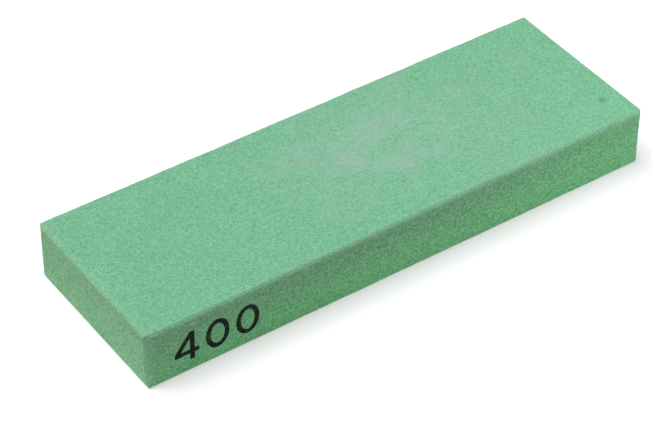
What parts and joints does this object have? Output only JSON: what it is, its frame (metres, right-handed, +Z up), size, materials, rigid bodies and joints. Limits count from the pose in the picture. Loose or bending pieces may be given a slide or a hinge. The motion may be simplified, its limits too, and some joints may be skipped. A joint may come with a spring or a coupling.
{
  "type": "sharpening whetstone",
  "caption": "Rectangular bench whetstone: a flat bonded-abrasive block with lightly broken edges and a plain grit number inked on one long side.",
  "frame": {"origin": "centre of the bottom face", "axes": "+X along the length, +Y across the width, +Z up out of the working face; the grit number is on the -Y side near the -X end and reads towards +X"},
  "size_m": [0.18, 0.06, 0.02],
  "materials": {
    "abrasive_stone": "matte",
    "grade_ink": "matte"
  },
  "bodies": {
    "root": {"abrasive_block": "abrasive_stone", "grit_digit_hundreds": "grade_ink", "grit_digit_tens": "grade_ink", "grit_digit_units": "grade_ink"}
  },
  "joints": []
}
